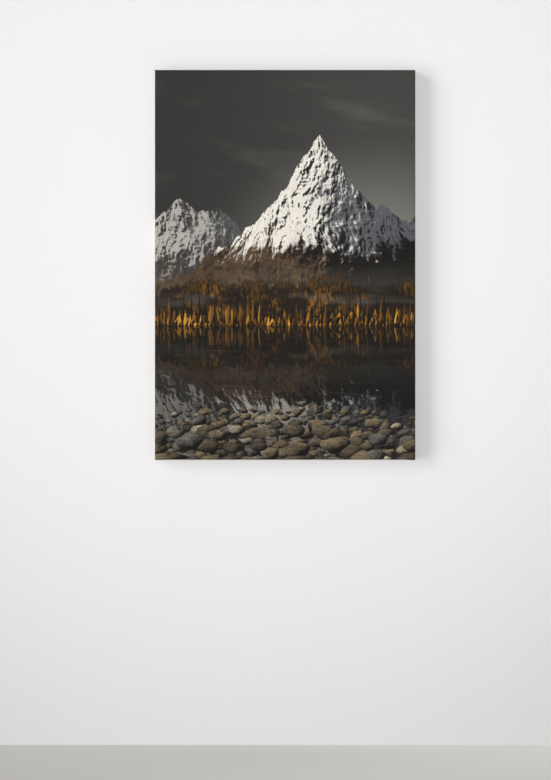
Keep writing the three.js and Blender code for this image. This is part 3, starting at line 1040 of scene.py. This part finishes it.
def pine(name, lengthways, pith, seed):
    """Planed pine as a solid: growth rings round a pith beside the bar, knots and fibres."""
    shader = Shader(name, Roughness=0.6)
    x, y, z = shader.split(shader.object_place())
    along, width = along_and_across(lengthways, x, z)
    wander = shader.noise(shader.vector(along * 1.3, seed), 1.0, 3.0) - 0.5
    cell = {"Vector": shader.vector(along, width, seed), "Scale": KNOTS_PER_METRE}
    knot = shader.node("ShaderNodeTexVoronoi", **cell) / KNOTS_PER_METRE
    swerve = shader.ramp(knot, 4 * KNOT_RADIUS, 0.0) * (5.5 * MM)
    grain = shader.vector(along * 6, width * 40, y * 40 + seed)
    uneven = (shader.noise(grain, 1.0, 4.0) - 0.5) * (3 * MM)
    across = width - pith[0] + wander * 0.05
    deep = y - pith[1] + wander * 0.02
    radius = (across * across + deep * deep) ** 0.5 + swerve + uneven
    ring = shader.math("FRACT", radius / RING_PITCH)
    late = shader.ramp(ring, 0.35, 0.92) * shader.ramp(ring, 1.0, 0.95)
    fibre = shader.noise(shader.vector(along * 22, width * 900, y * 900), 1.0, 3.0)
    colour = shader.mix(late, srgb("#e6cfa2"), srgb("#c4935a"))
    colour = shader.mix(shader.ramp(fibre, 0.45, 0.75) * 0.25, colour, srgb("#a8783f"))
    tone = shader.noise(shader.vector(along * 3, width * 9, seed), 1.0, 4.0)
    colour = shader.mix(shader.ramp(tone, 0.3, 0.8) * 0.3, colour, srgb("#d9b37e"))
    heart = shader.ramp(knot, KNOT_RADIUS + MM, KNOT_RADIUS - MM)
    rim = shader.ramp(knot, KNOT_RADIUS + 3.5 * MM, KNOT_RADIUS + 0.5 * MM) * (1 - heart)
    rings = shader.sin(knot * 5200) * 0.25 + 0.5
    colour = shader.mix(rim * 0.8, colour, srgb("#5b3a20"))
    colour = shader.mix(heart, colour, shader.mix(rings, srgb("#7a4c27"), srgb("#9a6a3c")))
    height = late * 0.6 + fibre * 0.5 + heart * 0.4
    return shader.paint(
        Base_Color=colour,
        Roughness=fibre * 0.2 + 0.5,
        Normal=shader.bump(height, 0.12 * MM, 0.6),
    )


def beech(name, lengthways):
    """Sawn beech with its short dark flecks."""
    shader = Shader(name, Roughness=0.6)
    x, y, z = shader.split(shader.object_place())
    along, width = along_and_across(lengthways, x, z)
    fleck = shader.noise(shader.vector(along * 260, width * 1500, y * 1500), 1.0, 2.0)
    streak = shader.noise(shader.vector(along * 12, width * 350, y * 350), 1.0, 4.0)
    colour = shader.mix(streak, srgb("#c99a68"), srgb("#deb88a"))
    colour = shader.mix(shader.ramp(fleck, 0.58, 0.72) * 0.8, colour, srgb("#8e5c34"))
    saw = shader.sin(along * 2600) * 0.3 + streak
    return shader.paint(Base_Color=colour, Normal=shader.bump(saw, 0.08 * MM, 0.5))


def zinc():
    """Bright zinc plate with a faint bluish bloom and fine scratches."""
    shader = Shader("zinc plate", Metallic=1.0)
    place = shader.object_place()
    x, y, z = shader.split(place)
    bloom = shader.noise(place, 260.0, 5.0, 0.6)
    scratch = shader.noise(shader.vector(x * 300, y * 300, z * 4200), 1.0, 3.0)
    colour = shader.mix(bloom, srgb("#aeb3b8"), srgb("#d2d3d0"))
    return shader.paint(
        Base_Color=colour,
        Roughness=bloom * 0.25 + scratch * 0.15 + 0.12,
        Normal=shader.bump(scratch + bloom, 0.02 * MM, 0.5),
    )


def felt():
    """Pressed grey felt: matted fibres of two tones."""
    shader = Shader("grey felt", Roughness=0.95, Sheen_Weight=0.3)
    place = shader.object_place()
    matted = {"Vector": place, "Scale": 900.0, "Detail": 4.0, "Distortion": 2.5}
    mat = shader.node("ShaderNodeTexNoise", **matted)
    clump = shader.noise(place, 160.0, 3.0)
    colour = shader.mix(mat, srgb("#55534f"), srgb("#8f8c86"))
    colour = shader.mix(clump * 0.5, colour, srgb("#6d6a66"))
    return shader.paint(Base_Color=colour, Normal=shader.bump(mat + clump, 0.5 * MM, 0.8))


def dress(node, material):
    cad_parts[node].material_slots[0].material = material


# Each pine piece is cut from its own board: the way it lies, and the pith of its growth
# rings across and behind its middle.
BOARDS = {
    "bar_top": ("X", 0.055, 0.03),
    "bar_bottom": ("X", -0.07, 0.015),
    "bar_left": ("Z", 0.048, -0.045),
    "bar_right": ("Z", -0.09, 0.02),
    "brace_across": ("X", 0.03, 0.055),
    "brace_upright": ("Z", -0.035, 0.07),
}


def dress_frame():
    """Gives the frame's own pieces their finishes."""
    for number, (node, (lengthways, across, behind)) in enumerate(BOARDS.items()):
        x, y, z = middle(node)
        _, width = along_and_across(lengthways, x, z)
        pith = (width + across, y + behind)
        name, seed = node.replace("_", " "), 3.7 * number + 1.3
        dress(node, pine(name, lengthways, pith, seed))
    keys = {"across": beech("key across", "X"), "upright": beech("key upright", "Z")}
    plated, pad = zinc(), felt()
    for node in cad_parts:
        if node.startswith("key_"):
            dress(node, keys[node.rsplit("_", 1)[1]])
        elif node.startswith(("hanger_", "screw_", "brace_screw")):
            dress(node, plated)
        elif node.startswith("pad_"):
            dress(node, pad)


dress_frame()
cloth = make_cloth()
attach(cloth, "root")
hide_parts("canvas")

staples = make_staples()
staples.data.materials.append(staple_steel())
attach(staples, "root")

threads = make_threads()
threads.data.materials.append(linen())
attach(threads, "root")


# ---- floor, wall, light and camera ----
HANGING_HEIGHT = 1.667  # the middle of the picture above the floor
WALL_GAP = 0.5 * MM
WALL_REACH = 3.0
FLOOR_SIZE = 16
WINDOW_LEFT = 63.5  # degrees from straight in front to the windows' light
WINDOW_SPREAD = 30  # degrees across a window, as seen from the wall
ROOM_LIGHT = 0.05  # strength of the room's own light on the objects
ROOM_LOOK = 0.7  # how pale the open room looks
CAMERA_PLACE = (-0.033, -7.535, -0.433)
CAMERA_LENS = 100  # millimetres


def plain(name, code, roughness):
    return Shader(name, Base_Color=(*srgb(code), 1.0), Roughness=roughness)


def make_wall():
    """A pale wall, seen only from the front, that stops no light, so the back stays in view."""
    bpy.ops.mesh.primitive_plane_add(size=2)
    wall = bpy.context.object
    wall.data.transform(
        Matrix.Translation((0, WALL_GAP, WALL_REACH - HANGING_HEIGHT))
        @ Matrix.Rotation(math.pi / 2, 4, "X")
        @ Matrix.Scale(WALL_REACH, 4)
    )
    wall.name = "wall"
    shader = plain("white wall", "#f3f2f2", 0.9)
    behind = shader.node("ShaderNodeNewGeometry", output=6)
    solid = Wire(shader, shader.surface.outputs[0])
    clear = shader.node("ShaderNodeBsdfTransparent")
    either = shader.node("ShaderNodeMixShader", _0=behind, _1=solid, _2=clear)
    shader.feed(shader.tree.nodes["Material Output"].inputs[0], either)
    wall.data.materials.append(shader.owner)
    for ray in ("diffuse", "glossy", "transmission", "shadow"):
        setattr(wall, f"visible_{ray}", False)


def make_floor():
    bpy.ops.mesh.primitive_plane_add(size=FLOOR_SIZE, location=(0, 0, -HANGING_HEIGHT))
    floor = settle("floor")
    floor.data.materials.append(plain("pale floor", "#d8d6d2", 0.8).owner)
    floor.visible_shadow = False


def lamp(name, kind, place, towards, power, **settings):
    light = bpy.data.lights.new(name, kind)
    light.energy = power
    for key, value in settings.items():
        setattr(light, key, value)
    fixture = bpy.data.objects.new(name, light)
    fixture.location = place
    aim = Vector(towards) - Vector(place)
    fixture.rotation_euler = aim.to_track_quat("-Z", "Y").to_euler()
    bpy.context.collection.objects.link(fixture)


def daylight(name, leftwards, upwards, strength):
    """Even light from a broad window, whose direction from the wall is in degrees."""
    left, up = math.radians(leftwards), math.radians(upwards)
    flat = math.cos(up)
    source = (-math.sin(left) * flat, -math.cos(left) * flat, math.sin(up))
    lamp(name, "SUN", source, (0, 0, 0), strength, angle=math.radians(WINDOW_SPREAD))


def light_room():
    """Windows on the left, a lamp far in front, a pale ceiling, and a soft lamp behind."""
    room = Shader("pale room", "worlds", "Background", Color=(1.0, 1.0, 1.0, 1.0))
    seen = room.node("ShaderNodeLightPath")  # 1 where the camera looks straight at the room
    strengths = {"To_Min": ROOM_LIGHT, "To_Max": ROOM_LOOK}
    strength = room.node("ShaderNodeMapRange", Value=seen, **strengths)
    bpy.context.scene.world = room.paint(Strength=strength)
    daylight("window_high", WINDOW_LEFT, 20, 1.28)
    daylight("window_low", WINDOW_LEFT, -10, 1.0)
    lamp(
        "room_light",
        "SPOT",
        place=(-0.25, -9, -0.1),
        towards=(-0.2, 0, 0.75),
        power=1740,
        spot_size=math.radians(41),
        spot_blend=1.0,
        shadow_soft_size=0.5,
    )
    daylight("ceiling", 0, 90, 0.7)
    lamp(
        "back_light",
        "AREA",
        place=(1.5, 3.6, 1.6),
        towards=(0, 0, 0),
        power=170,
        shape="RECTANGLE",
        size=3.0,
        size_y=3.0,
    )


def place_camera():
    camera = bpy.data.objects.new("camera", bpy.data.cameras.new("camera"))
    camera.data.lens = CAMERA_LENS
    camera.location = CAMERA_PLACE
    camera.rotation_euler = (math.pi / 2, 0, 0)
    bpy.context.collection.objects.link(camera)
    bpy.context.scene.camera = camera


make_wall()
make_floor()
light_room()
place_camera()
bpy.context.scene.view_settings.view_transform = "Standard"
